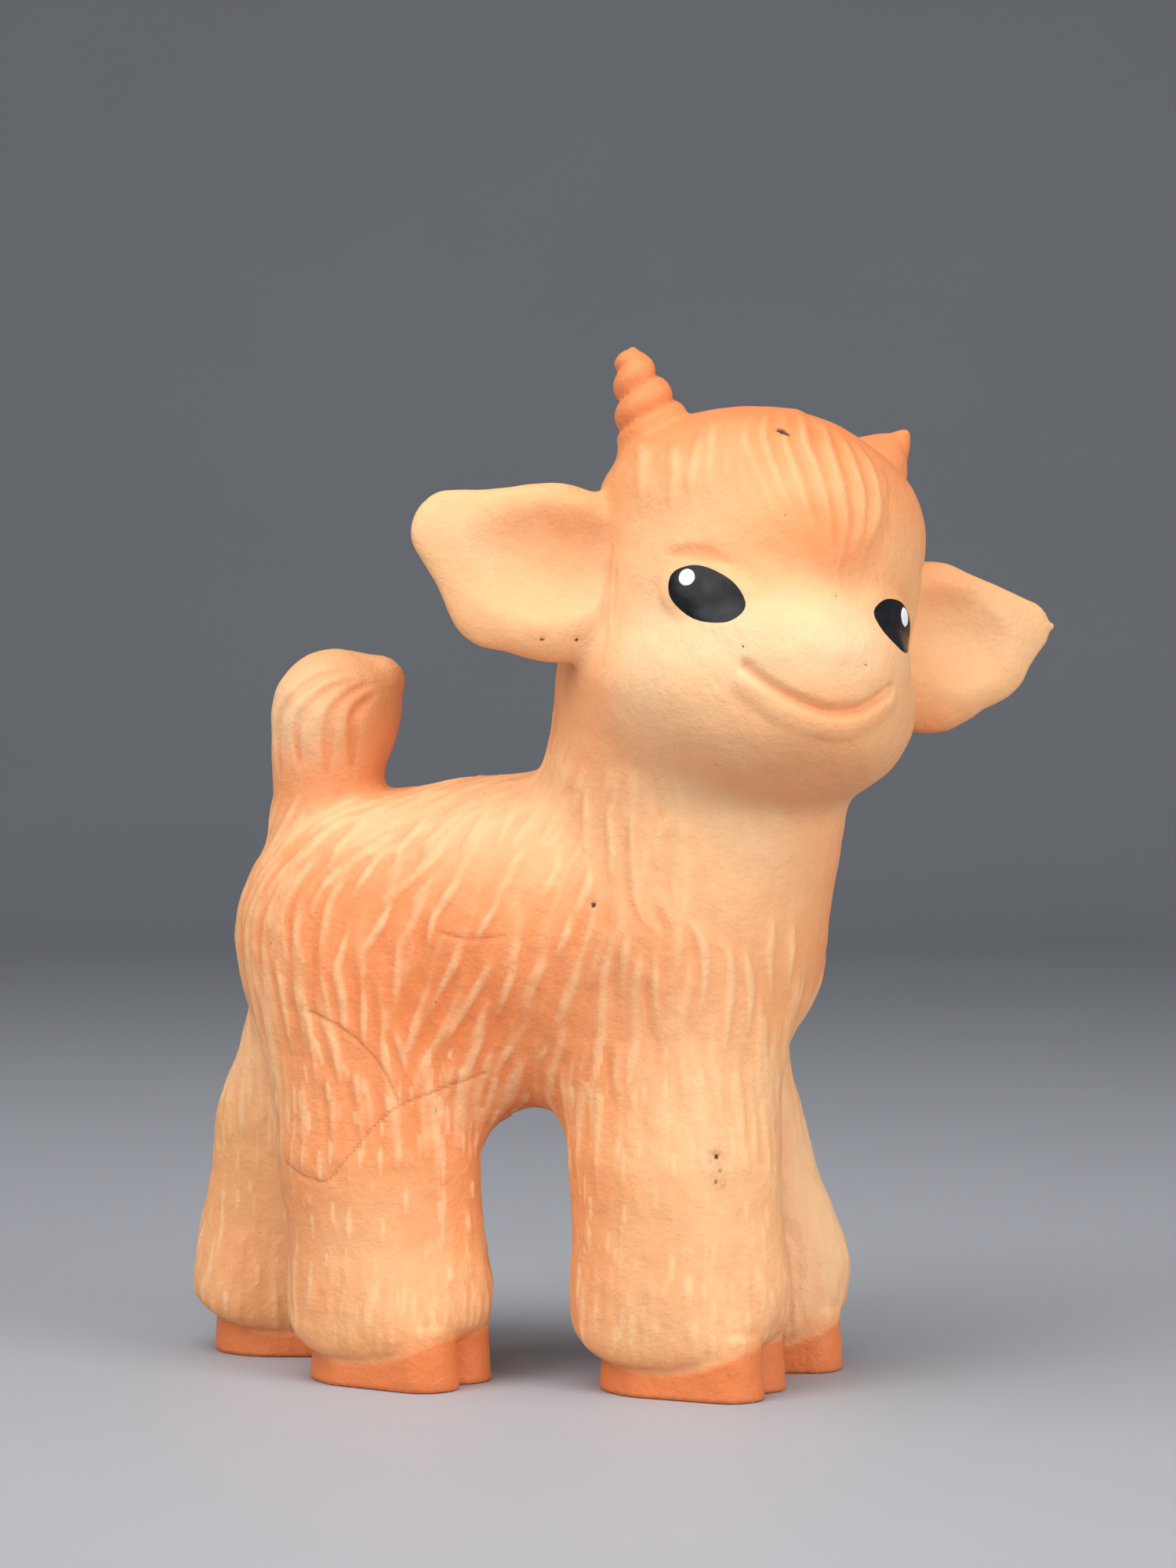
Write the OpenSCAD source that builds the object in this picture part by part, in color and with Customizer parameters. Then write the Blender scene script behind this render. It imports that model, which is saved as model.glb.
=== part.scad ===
// Hollow moulded rubber goat kid, standing, with its head turned to its right.
// Millimetres. The kid faces +X, its left side is +Y and it stands on z = 0.
// The stations below are drawn for a kid BASE_H tall and scaled to toy_h.

/* [Toy] */
// Height from the soles to the tip of the taller horn
toy_h = 150; // [140:1:160]
// Thickness of the rubber skin
wall = 2.6; // [2.2:0.1:3]

/* [Head] */
// Turn of the face from straight ahead towards the kid's right
head_turn = 58; // [50:1:64]
// Tilt of the head towards the kid's left ear
head_tilt = 8; // [4:1:12]
// Thickness of an ear at its root
ear_t = 9; // [8:0.5:11]

/* [Eyes] */
// Thickness of each coat of paint, drawn thicker than real paint
coat_t = 0.3; // [0.25:0.05:0.4]
// Length of a painted eye
eye_l = 12; // [11:0.5:13]
// Height of a painted eye
eye_h = 7.8; // [7:0.1:8.5]

/* [Squeaker] */
// Diameter of the squeaker's barrel
barrel_d = 11; // [10:0.5:12]
// Length of the squeaker's barrel above its flange
barrel_l = 8; // [7.5:0.5:9]
// Length of the sounding reed
reed_l = 4.6; // [4:0.1:4.8]
// Width of the sounding reed
reed_w = 2.2; // [1.8:0.1:2.6]

/* [Hidden] */

BASE_H = 148.6;
// Middle of the kid's outline seen from above, moved to the origin
MIDDLE = [1.2, -2.7];
SKIN_FN = 20;
CAVITY_FN = 14;
ROUND_FN = 48;
EYE_FN = 32;
BIG = 200;

// Colours of the moulded rubber, the two paints and the squeaker
PEACH = [0.96, 0.70, 0.46];
BLACK = [0.05, 0.05, 0.06];
WHITE = [0.95, 0.95, 0.93];
IVORY = [0.88, 0.86, 0.78];
BRASS = [0.78, 0.62, 0.28];

// A station is [x, y, z, radius, width factor across the body]
TORSO = [[-31, 0.5, 63, 22, 0.86], [-12, 0.5, 63.2, 23.5, 0.86], [10, 0.5, 65, 23.5, 0.86]];
NECK = [[12, 0, 64, 22.5, 0.88], [15.5, 0, 82, 21.5, 0.9], [17.5, -2, 101, 21, 0.9]];
TAIL = [[-39.6, 0, 80, 8.2, 1], [-39.5, 0, 90, 7.7, 1], [-38.2, 0, 96.4, 8.9, 1], [-31.6, 0, 101.4, 3.6, 1]];
FRONT_RIGHT = [[14, -8, 50, 16, 0.7], [15, -11, 32, 14.3, 0.68], [16.2, -12, 15, 15.4, 0.68]];
FRONT_LEFT = [[13, 8, 50, 14, 0.7], [16.5, 11, 32, 13.5, 0.68], [22, 12, 15, 14.5, 0.68]];
HIND_RIGHT = [[-29, -7, 54, 18, 0.7], [-29, -11, 32, 14, 0.68], [-27, -12, 15, 14.3, 0.68]];
HIND_LEFT = [[-34, 7, 52, 18, 0.7], [-45, 11, 32, 14.5, 0.68], [-48.5, 12, 15, 14.8, 0.68]];
LEGS = [FRONT_RIGHT, FRONT_LEFT, HIND_RIGHT, HIND_LEFT];

// A hoof is [x, y, heading in degrees]: each pair of toes turns outwards
HOOVES = [[16.5, -12, -18], [22, 12, 12], [-26.5, -12, -18], [-48, 12, 12]];
HOOF_L = 27;
HOOF_H = 11;
TOE_R = 5;
TOE_SPREAD = 4.8;
HEEL_R = 8.4;
FUR_LIP_Z = 4.8;
CAVITY_FLOOR = 6.5;

// The head's own frame: +X out of the face, +Y to the left ear, +Z to the crown
HEAD = [24.7, -4, 110];
// A lobe of the head is [centre, radii]
LOBES = [
    [[1, 0, 4], [23.5, 23, 22]],
    [[0, 0, 13.5], [20.5, 24, 16.2]],
    [[5.5, 0, -12], [22.5, 23, 16]]
];
MUZZLE = [[17, 1, -5.5], [12.5, 14.5, 8.6]];
FORELOCK = [[12, 0, 18, 9, 1], [18, 1, 12, 6, 1], [21.5, 2, 7, 3, 1]];
HORN_RIGHT = [[-3, -15.3, 20.5, 6.4, 1], [-4.3, -21.4, 33.3, 2.7, 1]];
HORN_LEFT = [[-3, 16, 20.5, 6.4, 1], [-4.3, 20.6, 30.4, 1.2, 1]];
EAR_X = -1;
EAR_ROOT = [29.5, 0, 14.6];
EAR_TIP = [44.8, 5.2, 5.6];
EAR_RIM = 3.4;
// How far an ear's tip is swept back behind its root
EAR_SWEEP = 3;

// Middle of the raised oval under each painted eye, in the head's frame
EYE_RIGHT = [18.8, -14, -0.2];
EYE_LEFT = [21.3, 11.2, -0.2];
// [turn outwards, slant] of each eye
AIM_RIGHT = [42, 12];
AIM_LEFT = [38, -2];
EYE_BULGE = 2.3;
GLINT_R = 1.3;
GLINT_OUT = 2.6;
GLINT_UP = 1.8;

// Above and ahead of this corner the mould parts along the head, elsewhere along the body
NECK_Z = 92;
PARTING_X = -22;

// Squeaker, pressed up into the belly between the legs
SQUEAK_X = -7;
BELLY_Z = 42.2;
FLANGE_LIP = 1;
FLANGE_R = barrel_d / 2 + FLANGE_LIP;
FLANGE_T = 1.2;
// Round seat that the flange sits in, sunk into the belly
SEAT_GAP = 0.5;
SEAT_R = FLANGE_R + SEAT_GAP;
SEAT_H = 4;
BARREL_WALL = 1.2;
BORE_R = barrel_d / 2 - BARREL_WALL;
PORT_R = 1.3;
// Thickened ring of rubber inside the belly that grips the barrel
BOSS_WALL = 3;
BOSS_R = barrel_d / 2 + BOSS_WALL;
BOSS_H = 6.5;
BOSS_TOP = BELLY_Z + BOSS_H;
// Hole for the barrel, its flats clear of the barrel's corners
HOLE_R = barrel_d / 2 / cos(180 / ROUND_FN);
HOLE_TOP = BOSS_TOP + 1;
// Ledge inside the barrel that the reed plate rests on
SHELF_RISE = 3;
SHELF_Z = BELLY_Z + SHELF_RISE;
SHELF_W = 0.8;
SHELF_R = BORE_R - SHELF_W;
SHELF_STEP = 1.4;
PLATE_T = 0.5;
REED_T = 0.25;
REED_GAP = 0.3;
REED_ROOT_GAP = 0.1;
REED_ROOT_X = SQUEAK_X - reed_l / 2;
REED_Z = SHELF_Z + PLATE_T / 2;
CAP_T = 2;
CAP_WALL = 1.2;
CAP_R = BORE_R - CAP_WALL;

module full_size() {
    scale(toy_h / BASE_H)
        translate([-MIDDLE[0], -MIDDLE[1], 0])
            children();
}

// One station, its radius made smaller by inset
module blob(p, inset) {
    r = p[3] - inset;
    translate([p[0], p[1], p[2]])
        scale([1, (p[3] * p[4] - inset) / r, 1])
            sphere(r);
}

// Rounded limb through a list of stations
module limb(stations, inset = 0) {
    for (i = [1:len(stations) - 1])
        hull() {
            blob(stations[i - 1], inset);
            blob(stations[i], inset);
        }
}

module in_head_frame() {
    translate(HEAD)
        rotate([0, 0, -head_turn])
            rotate([-head_tilt, 0, 0])
                children();
}

module lobe(l, inset) {
    translate(l[0])
        scale([for (r = l[1]) r - inset])
            sphere(1);
}

module face(inset = 0) {
    hull()
        for (l = LOBES)
            lobe(l, inset);
    lobe(MUZZLE, inset);
}

// Flat leaf of the ear on the given side, thickness t at its root
module ear_leaf(side, t, rim = 0) {
    scale([t / 2 / EAR_ROOT[2], side, 1])
        hull() {
            translate([0, EAR_ROOT[0], EAR_ROOT[1]])
                sphere(EAR_ROOT[2] - rim);
            translate([-EAR_SWEEP * EAR_ROOT[2] * 2 / ear_t, EAR_TIP[0] - rim / 2, EAR_TIP[1]])
                sphere(EAR_TIP[2] - rim / 2);
        }
}

module ear(side) {
    difference() {
        translate([EAR_X, 0, 0])
            ear_leaf(side, ear_t);
        translate([EAR_X + ear_t / 2, 0, 0])
            ear_leaf(side, ear_t, EAR_RIM);
    }
}

module in_eye_frame(side) {
    aim = side < 0 ? AIM_RIGHT : AIM_LEFT;
    translate(side < 0 ? EYE_RIGHT : EYE_LEFT)
        rotate([0, 0, side * aim[0]])
            rotate([side * aim[1], 0, 0])
                children();
}

module eye_oval(side, grow = 0) {
    in_eye_frame(side)
        hull()
            scale([EYE_BULGE + grow, eye_l / 2 + grow, eye_h / 2 + grow])
                sphere(1, $fn = EYE_FN);
}

module head() {
    face();
    limb(FORELOCK);
    limb(HORN_RIGHT);
    limb(HORN_LEFT);
    for (side = [-1, 1]) {
        ear(side);
        eye_oval(side);
    }
}

// Plan of one hoof: two toes with a cleft between their tips
module hoof_plan() {
    for (side = [-1, 1])
        hull() {
            translate([HEEL_R - HOOF_L / 2, 0])
                circle(HEEL_R);
            translate([HOOF_L / 2 - TOE_R, side * TOE_SPREAD])
                circle(TOE_R);
        }
}

module hoof(h) {
    translate([h[0], h[1], 0])
        rotate([0, 0, h[2]])
            linear_extrude(HOOF_H)
                hoof_plan();
}

module above(z) {
    translate([-BIG / 2, -BIG / 2, z])
        cube(BIG);
}

module outside() {
    limb(TORSO);
    limb(NECK);
    limb(TAIL);
    intersection() {
        for (leg = LEGS)
            limb(leg);
        above(FUR_LIP_Z);
    }
    for (h = HOOVES)
        hoof(h);
    in_head_frame()
        head();
    translate([SQUEAK_X, 0, BELLY_Z])
        cylinder(r = BOSS_R, h = BOSS_H);
}

module cavity() {
    difference() {
        union() {
            limb(TORSO, wall);
            limb(NECK, wall);
            limb(TAIL, wall);
            intersection() {
                for (leg = LEGS)
                    limb(leg, wall);
                above(CAVITY_FLOOR);
            }
            in_head_frame()
                face(wall);
        }
        translate([SQUEAK_X, 0, 0])
            cylinder(r = BOSS_R, h = BOSS_TOP);
    }
}

module skin() {
    difference() {
        outside($fn = SKIN_FN);
        cavity($fn = CAVITY_FN);
        translate([SQUEAK_X, 0, 0])
            cylinder(r = HOLE_R, h = HOLE_TOP, $fn = ROUND_FN);
        squeak_disc(SEAT_R, SEAT_H, BELLY_Z - SEAT_H);
    }
}

// The kid's right side along the body and tail, and the face's side of the head
module right_of_parting() {
    difference() {
        translate([-BIG / 2, -BIG, -BIG / 2])
            cube(BIG);
        translate([PARTING_X, -BIG / 2, NECK_Z])
            cube(BIG);
    }
    intersection() {
        translate([PARTING_X, -BIG / 2, NECK_Z])
            cube(BIG);
        in_head_frame()
            translate([EAR_X, -BIG / 2, -BIG / 2])
                cube(BIG);
    }
}

module skin_right_half() {
    color(PEACH)
        full_size()
            intersection() {
                skin();
                right_of_parting();
            }
}

module skin_left_half() {
    color(PEACH)
        full_size()
            difference() {
                skin();
                right_of_parting();
            }
}

module eye_paint(side) {
    color(BLACK)
        full_size()
            in_head_frame()
                difference() {
                    eye_oval(side, coat_t);
                    eye_oval(side);
                    face($fn = SKIN_FN);
                }
}

module eye_glint(side) {
    color(WHITE)
        full_size()
            in_head_frame()
                difference() {
                    intersection() {
                        eye_oval(side, 2 * coat_t);
                        in_eye_frame(side)
                            translate([0, side * GLINT_OUT, GLINT_UP])
                                rotate([0, 90, 0])
                                    cylinder(r = GLINT_R, h = 2 * EYE_BULGE, $fn = EYE_FN);
                    }
                    eye_oval(side, coat_t);
                }
}

module eye_paint_right() {
    eye_paint(-1);
}

module eye_paint_left() {
    eye_paint(1);
}

module eye_glint_right() {
    eye_glint(-1);
}

module eye_glint_left() {
    eye_glint(1);
}

// Disc or ring of the squeaker, its lower face at height z
module squeak_disc(r, h, z) {
    translate([SQUEAK_X, 0, z])
        cylinder(r = r, h = h, $fn = ROUND_FN);
}

module squeaker_barrel() {
    color(IVORY)
        full_size()
            difference() {
                union() {
                    squeak_disc(FLANGE_R, FLANGE_T, BELLY_Z - FLANGE_T);
                    squeak_disc(barrel_d / 2, barrel_l, BELLY_Z);
                }
                squeak_disc(BORE_R, barrel_l, SHELF_Z);
                squeak_disc(SHELF_R, barrel_l, SHELF_Z - SHELF_STEP);
                squeak_disc(PORT_R, barrel_l, BELLY_Z - 2 * FLANGE_T);
            }
}

module reed_tongue(spare, drop) {
    translate([REED_ROOT_X, -reed_w / 2 - spare, SHELF_Z - drop])
        cube([reed_l + spare, reed_w + 2 * spare, PLATE_T + 2 * drop]);
}

module squeaker_reed_plate() {
    color(BRASS)
        full_size()
            difference() {
                squeak_disc(BORE_R, PLATE_T, SHELF_Z);
                translate([-REED_ROOT_GAP, 0, 0])
                    reed_tongue(REED_GAP, PLATE_T);
            }
}

module squeaker_reed() {
    color(BRASS)
        full_size()
            translate([REED_ROOT_X, -reed_w / 2, REED_Z - REED_T / 2])
                cube([reed_l, reed_w, REED_T]);
}

module squeaker_cap() {
    color(IVORY)
        full_size()
            difference() {
                squeak_disc(BORE_R, CAP_T, SHELF_Z + PLATE_T);
                squeak_disc(CAP_R, 2 * CAP_T, SHELF_Z);
            }
}

skin_right_half();
skin_left_half();
eye_paint_right();
eye_paint_left();
eye_glint_right();
eye_glint_left();
squeaker_barrel();
squeaker_reed_plate();
squeaker_reed();
squeaker_cap();
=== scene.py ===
import functools
import itertools
import math
import bpy
import numpy as np
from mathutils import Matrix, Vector


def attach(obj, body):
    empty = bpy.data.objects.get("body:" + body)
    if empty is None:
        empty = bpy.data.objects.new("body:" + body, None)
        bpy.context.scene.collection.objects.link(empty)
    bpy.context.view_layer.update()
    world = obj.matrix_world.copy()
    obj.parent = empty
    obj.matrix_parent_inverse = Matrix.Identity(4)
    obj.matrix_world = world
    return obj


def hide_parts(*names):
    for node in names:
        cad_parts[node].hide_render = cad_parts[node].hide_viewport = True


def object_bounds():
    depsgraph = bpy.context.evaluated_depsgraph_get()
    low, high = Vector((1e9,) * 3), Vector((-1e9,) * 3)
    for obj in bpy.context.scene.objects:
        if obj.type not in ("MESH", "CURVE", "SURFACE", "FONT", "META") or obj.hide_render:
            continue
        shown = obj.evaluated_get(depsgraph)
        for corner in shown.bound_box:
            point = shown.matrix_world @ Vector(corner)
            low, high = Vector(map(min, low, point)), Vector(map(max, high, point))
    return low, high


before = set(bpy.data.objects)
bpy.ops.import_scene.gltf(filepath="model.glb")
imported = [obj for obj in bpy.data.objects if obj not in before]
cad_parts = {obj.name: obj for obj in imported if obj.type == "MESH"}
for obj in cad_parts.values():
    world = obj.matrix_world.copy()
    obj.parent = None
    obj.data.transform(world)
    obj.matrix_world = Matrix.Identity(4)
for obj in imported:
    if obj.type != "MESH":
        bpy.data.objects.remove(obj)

CAD_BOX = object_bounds()

# ---- The drawing ----
# Shapes are drawn in millimetres for a kid DRAWN_H tall that stands on z = 0, faces +X and has its
# left side at +Y, like the stations in the CAD model. to_row carries them into the row frame.
DRAWN_H = 148.65
MIDDLE = np.array([1.2, -2.7, 0.0])
UNIT = (CAD_BOX[1].z - CAD_BOX[0].z) / DRAWN_H

VOXEL = 0.5
FAR = 8.0  # distances are not followed further than this
RNG = np.random.default_rng(7)


def to_row(p):
    """Drawn millimetres to metres in the row frame."""
    return (np.asarray(p, float) - MIDDLE) * UNIT


def unit(v):
    return v / np.maximum(np.linalg.norm(v, axis=-1, keepdims=True), 1e-9)


def turn(axis, degrees):
    """Rotation matrix about a main axis."""
    a = math.radians(degrees)
    c, s = math.cos(a), math.sin(a)
    i, j = {"x": (1, 2), "y": (2, 0), "z": (0, 1)}[axis]
    m = np.eye(3)
    m[i, i] = m[j, j] = c
    m[i, j], m[j, i] = -s, s
    return m


def ramp(v, low, high):
    """Smooth step from 0 at low to 1 at high."""
    t = np.clip((v - low) / (high - low), 0, 1)
    return t * t * (3 - 2 * t)


# ---- Distance functions ----
def soft_min(a, b, k):
    k = np.maximum(k, 1e-6)
    h = np.maximum(k - np.abs(a - b), 0) / k
    return np.minimum(a, b) - h * h * h * k / 6


def soft_max(a, b, k):
    return -soft_min(-a, -b, k)


def join(parts, k):
    """Distance to several shapes blended one after the other."""
    return functools.reduce(lambda a, b: soft_min(a, b, k), parts)


def round_cone(p, a, b, ra, rb):
    """Distance to the hull of two balls."""
    a, b = np.asarray(a, float), np.asarray(b, float)
    ab = b - a
    l2 = float(ab @ ab)
    rr = ra - rb
    if l2 <= rr * rr:
        c, r = (a, ra) if ra >= rb else (b, rb)
        return np.linalg.norm(p - c, axis=-1) - r
    a2 = l2 - rr * rr
    pa = p - a
    y = pa @ ab
    z = y - l2
    x2 = ((pa * l2 - y[..., None] * ab) ** 2).sum(-1)
    y2, z2 = y * y * l2, z * z * l2
    k = np.sign(rr) * rr * rr * x2
    d = (np.sqrt(x2 * a2 / l2) + y * rr) / l2 - ra
    d = np.where(np.sign(y) * a2 * y2 < k, np.sqrt(x2 + y2) / l2 - ra, d)
    return np.where(np.sign(z) * a2 * z2 > k, np.sqrt(x2 + z2) / l2 - rb, d)


def ellipsoid(p, radii):
    r = np.asarray(radii, float)
    near = np.linalg.norm(p / r, axis=-1) + 1e-9
    steep = np.linalg.norm(p / (r * r), axis=-1) + 1e-9
    return near * (near - 1) / steep


def limb(p, stations, flat=1.0):
    """Rounded limb through stations (x, y, z, r), flattened across y about its own line."""
    q, line = p, stations
    if flat != 1.0:
        upwards = sorted(stations, key=lambda s: s[2])
        q = p.copy()
        q[..., 1] -= np.interp(p[..., 2], [s[2] for s in upwards], [s[1] for s in upwards])
        q[..., 1] /= flat
        line = [(s[0], 0.0, s[2], s[3]) for s in stations]
    cones = [round_cone(q, s[:3], t[:3], s[3], t[3]) for s, t in zip(line[:-1], line[1:])]
    return join(cones, 4) * (0.5 + 0.5 * flat)


def stations_box(stations):
    st = np.array(stations, float)
    return (st[:, :3] - st[:, 3:4]).min(0), (st[:, :3] + st[:, 3:4]).max(0)


class Sculpt:
    """A solid made of soft-blended lumps, each worked out only near its own box."""

    def __init__(self):
        self.lumps = []

    def add(self, fn, box, blend, cut=False):
        margin = FAR + (ARCH_BLEND if callable(blend) else blend)
        self.lumps.append((fn, np.asarray(box[0]) - margin, np.asarray(box[1]) + margin, blend, cut))

    def __call__(self, p):
        d = np.full(len(p), FAR)
        for fn, lo, hi, blend, cut in self.lumps:
            near = np.all((p > lo) & (p < hi), axis=1)
            if near.any():
                v = fn(p[near])
                k = blend(p[near]) if callable(blend) else blend
                d[near] = soft_max(d[near], -v, k) if cut else soft_min(d[near], v, k)
        return d

    def slope(self, p, step=0.05):
        """Distance and its gradient."""
        d = self(p)
        g = np.empty_like(p)
        for i in range(3):
            e = np.zeros(3)
            e[i] = step
            g[:, i] = (self(p + e) - self(p - e)) / (2 * step)
        return d, g

    def settle(self, p, rounds=2):
        """Moves points onto the surface and returns them with their normals."""
        for _ in range(rounds):
            d, g = self.slope(p)
            p = p - g * (np.clip(d, -1, 1) / np.maximum((g * g).sum(1), 0.2))[:, None]
        return p, unit(g)


# ---- Stations of the kid, (x, y, z, radius) ----
TORSO = [(-31, 0.5, 63, 22), (-12, 0.5, 63.2, 23.5), (10, 0.5, 65, 23.5)]
NECK = [(12, 0, 64, 22.5), (15.5, 0, 82, 21.5), (17.5, -2, 101, 21)]
TAIL = [(-39.6, 0, 80, 8.2), (-39.5, 0, 90, 7.7), (-38.2, 0, 96.4, 8.9), (-31.6, 0, 101.4, 3.6)]
TORSO_FLAT, NECK_FLAT, LEG_FLAT = 0.86, 0.9, 0.68
LEG_BLEND, ARCH_BLEND = 6.0, 15.0  # how softly the legs join the body, and how softly under the belly

# Each leg: its stations, then the hoof's x, y and heading in degrees
LEGS = {
    "front_right": ([(14, -8, 50, 16), (15, -11, 32, 14.3), (16.2, -12, 15, 15.4)], (16.5, -12, -11)),
    "front_left": ([(13, 8, 50, 14), (16.5, 11, 32, 13.5), (22, 12, 15, 14.5)], (22, 12, 12)),
    "hind_right": ([(-29, -7, 54, 18), (-29, -11, 32, 14), (-27, -12, 15, 14.3)], (-26.5, -12, -18)),
    "hind_left": ([(-34, 7, 52, 18), (-45, 11, 32, 14.5), (-48.5, 12, 15, 14.8)], (-48, 12, 12)),
}
FUR_LIP, CUFF_TOP, CUFF_FRONT_R, CUFF_BACK_R = 3.2, 18, 9.9, 10.4
HOOF_W, HOOF_TOP = 17.4, 9.0
HEEL_X, TOE_X = -12.2, 13.3
HEEL_R, TOE_R = 8.4, 4.8

# The head's own frame: +X out of the face, +Y to the left ear, +Z to the crown
HEAD_AT = np.array([24.7, -4.0, 110.0])
HEAD_TURN, HEAD_TILT = 58.0, 8.0
HEAD_AXES = turn("z", -HEAD_TURN) @ turn("x", -HEAD_TILT)
EAR_X, EAR_SWEEP, EAR_THIN = -1.0, 3.0, 0.33
# Plan of each ear: balls (y, z, radius) for its root, belly and tip, then the hollow's middle and radii
EARS = {
    -1: ((29.5, 1.8, 12.4), (37.5, -3.0, 6.8), (44.8, 5.2, 5.6), (5.6, 33, 2.8), (5.2, 14.5, 9.3)),
    1: ((29.5, 0.3, 12.3), (38.6, 1.8, 8.4), (46.0, 5.8, 3.6), (5.5, 33, 2.2), (4.8, 12.5, 7.8)),
}
# Each horn: the middles and radii of the balls at its base and tip
HORNS = {
    -1: ((-3, -15.3, 20.5), (-4.3, -21.4, 33.3), 6.4, 2.5),
    1: ((-3, 16.5, 23.5), (-4, 22.2, 30.8), 5.8, 0.8),
}
# Each eye: the middle of its bump, how far it faces outwards and its slant in degrees
EYES = {-1: ((18.8, -14.0, -0.2), 42, 18), 1: ((21.3, 11.2, -0.2), 38, -2)}
EYE_L, EYE_H = 12.9, 7.6

# The squeaker's seat in the belly: its place, then the recess for the flange and the hole for the barrel
SQUEAK_X, BELLY_Z, BARREL_TOP = -7.0, 42.2, 50.4
SEAT_R, HOLE_R = 7.0, 5.55


def to_head(p):
    return (p - HEAD_AT) @ HEAD_AXES


def head_way(v):
    return np.asarray(v, float) @ HEAD_AXES.T


def from_head(q):
    return HEAD_AT + head_way(q)


def sole_frame(p, place):
    """Coordinates along and across a hoof."""
    q = (p - np.array([place[0], place[1], 0.0])) @ turn("z", place[2])
    return q[..., 0], q[..., 1], q[..., 2]


def tapered(x, across, a, b, ra, rb):
    """Plan distance to the hull of two circles."""
    ab = np.array(b) - np.array(a)
    rel = np.stack([x - a[0], across - a[1]], -1)
    t = np.clip(rel @ ab / (ab @ ab), 0, 1)
    return np.linalg.norm(rel - t[..., None] * ab, axis=-1) - (ra + t * (rb - ra))


def hoof(p, place):
    """Cloven hoof: two toes with a notch between them, and a round heel."""
    x, y, z = sole_frame(p, place)
    toes = tapered(x, np.abs(y), (-3, 3.4), (TOE_X - TOE_R, HOOF_W / 2 - TOE_R + 0.5), 5.6, TOE_R)
    heel = tapered(x, y, (HEEL_X + HEEL_R, 0), (1, 0), HEEL_R, HEEL_R)
    d = soft_min(toes, heel, 1.0) + 0.06 * (z - 3)
    return soft_max(soft_max(d, -z, 0.7), z - HOOF_TOP, 1.0)


def lip_height(x):
    """Height of the fur's lower edge along a hoof."""
    forward, back = np.maximum(x + 1, 0), np.minimum(x + 1, 0)
    return FUR_LIP + 0.021 * forward ** 2 + 0.02 * back ** 2


def leg(p, stations, place):
    """Furry leg that ends in a lip over its hoof."""
    d = limb(p, stations, LEG_FLAT)
    x, y, z = sole_frame(p, place)
    cuff = tapered(x, y, (-5.2, 0), (4.2, 0), CUFF_BACK_R, CUFF_FRONT_R)
    cuff += 0.022 * np.maximum(z - 7, 0) ** 2
    d = soft_min(d, soft_max(cuff, z - CUFF_TOP, 3), 4)
    return soft_max(d, lip_height(x) - z, 5.5)


def in_head(fn):
    return lambda p: fn(to_head(p))


def ear_leaf(q, balls):
    """Rounded plate through three balls."""
    root, belly, tip = balls
    pairs = ((root, tip), (root, belly), (belly, tip))
    return join([round_cone(q, (0, *a[:2]), (0, *b[:2]), a[2], b[2]) for a, b in pairs], 2)


def ear(q, side):
    """Thin leaf that bends back towards its tip, with a hollow in its front."""
    q = q * np.array([1, side, 1]) - np.array([EAR_X, 0, 0])
    q[..., 0] += EAR_SWEEP * np.clip((q[..., 1] - 20) / 27, 0, 1.3)
    d = ear_leaf(q / np.array([EAR_THIN, 1, 1]), EARS[side][:3]) * 0.55
    hollow_at, hollow = EARS[side][3:]
    bowl = (q - np.array(hollow_at)) @ turn("x", 12).T
    return soft_max(d, -ellipsoid(bowl, hollow), 3.0)


def horn(q, side):
    base, tip, base_r, tip_r = HORNS[side]
    return round_cone(q, base, tip, base_r, tip_r)


def eye_frame(side):
    at, outwards, slant = EYES[side]
    return np.array(at), turn("z", side * outwards) @ turn("x", side * slant)


def eye_bump(q, side):
    at, axes = eye_frame(side)
    return ellipsoid((q - at) @ axes, (1.8, EYE_L / 2 + 1.4, EYE_H / 2 + 1.3))


def head_box(centre, reach):
    c = from_head(centre)
    return c - reach, c + reach


# The head's lobes, as (centre, radii, blend): skull, crown, jaw, muzzle, chin, tuft, bridge, left horn's root
LOBES = [
    ((1, 0, 4), (23.5, 23, 22), 5), ((0, 0, 13.5), (20.5, 24, 16.2), 5), ((5.5, 0, -12), (22.5, 23, 16), 7),
    ((17, 1, -5.5), (12.5, 14.5, 8.6), 8), ((15.5, 1, -15.5), (12.5, 12.5, 7), 6),
    ((4, 0.6, 28.2), (3.5, 1.6, 1.3), 0.8), ((16.5, 1, 1), (6.5, 9, 12), 10),
    ((-3, 15.8, 18.5), (6.6, 6.6, 7), 1.6),
]


def add_head(sculpt):
    for centre, radii, blend in LOBES:
        fn = in_head(lambda q, c=np.array(centre, float), r=radii: ellipsoid(q - c, r))
        sculpt.add(fn, head_box(centre, max(radii)), blend)
    for side in (-1, 1):
        sculpt.add(in_head(lambda q, s=side: eye_bump(q, s)), head_box(eye_frame(side)[0], 8), 1.2)
        sculpt.add(in_head(lambda q, s=side: ear(q, s)), head_box((EAR_X, side * 36, 1), 24), 3.5)
        base, tip, base_r, _ = HORNS[side]
        middle = (np.array(base) + np.array(tip)) / 2
        sculpt.add(in_head(lambda q, s=side: horn(q, s)), head_box(middle, 7 + base_r), 1.6)


def arch_blend(p):
    """Blend of a leg into the body, generous where the arch under the belly springs from it."""
    under = ramp(-np.abs(p[:, 0] + 6.5), -19, -8) * ramp(-p[:, 2], -62, -42)
    return LEG_BLEND + (ARCH_BLEND - LEG_BLEND) * under


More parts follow.
